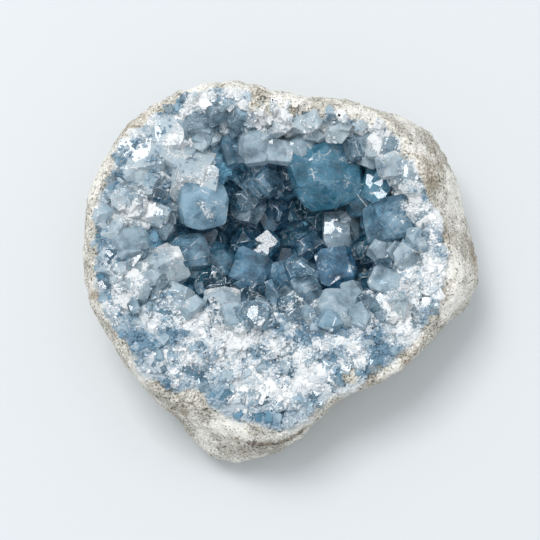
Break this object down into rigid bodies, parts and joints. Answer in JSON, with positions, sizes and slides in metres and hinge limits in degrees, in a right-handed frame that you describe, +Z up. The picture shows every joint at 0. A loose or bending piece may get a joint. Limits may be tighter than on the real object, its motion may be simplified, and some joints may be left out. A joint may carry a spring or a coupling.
{
  "type": "celestite geode",
  "caption": "Half of a broken limestone nodule that rests on a flat spot, its hollow lined by a crust of pale to deep blue crystals.",
  "frame": {"origin": "on the resting surface, under the middle of the footprint", "axes": "+Z up out of the hollow, +X along the long side, -Y towards the broad white part of the rim"},
  "size_m": [0.154, 0.1438, 0.0643],
  "materials": {
    "rock": "rough broken limestone with a sugary white rim and a grey-tan rind",
    "celestite": "natural crystal faces, glassy, pale to deep grey-blue"
  },
  "bodies": {
    "root": {"rock_matrix": "rock", "crystal_crust": "celestite"}
  },
  "joints": []
}
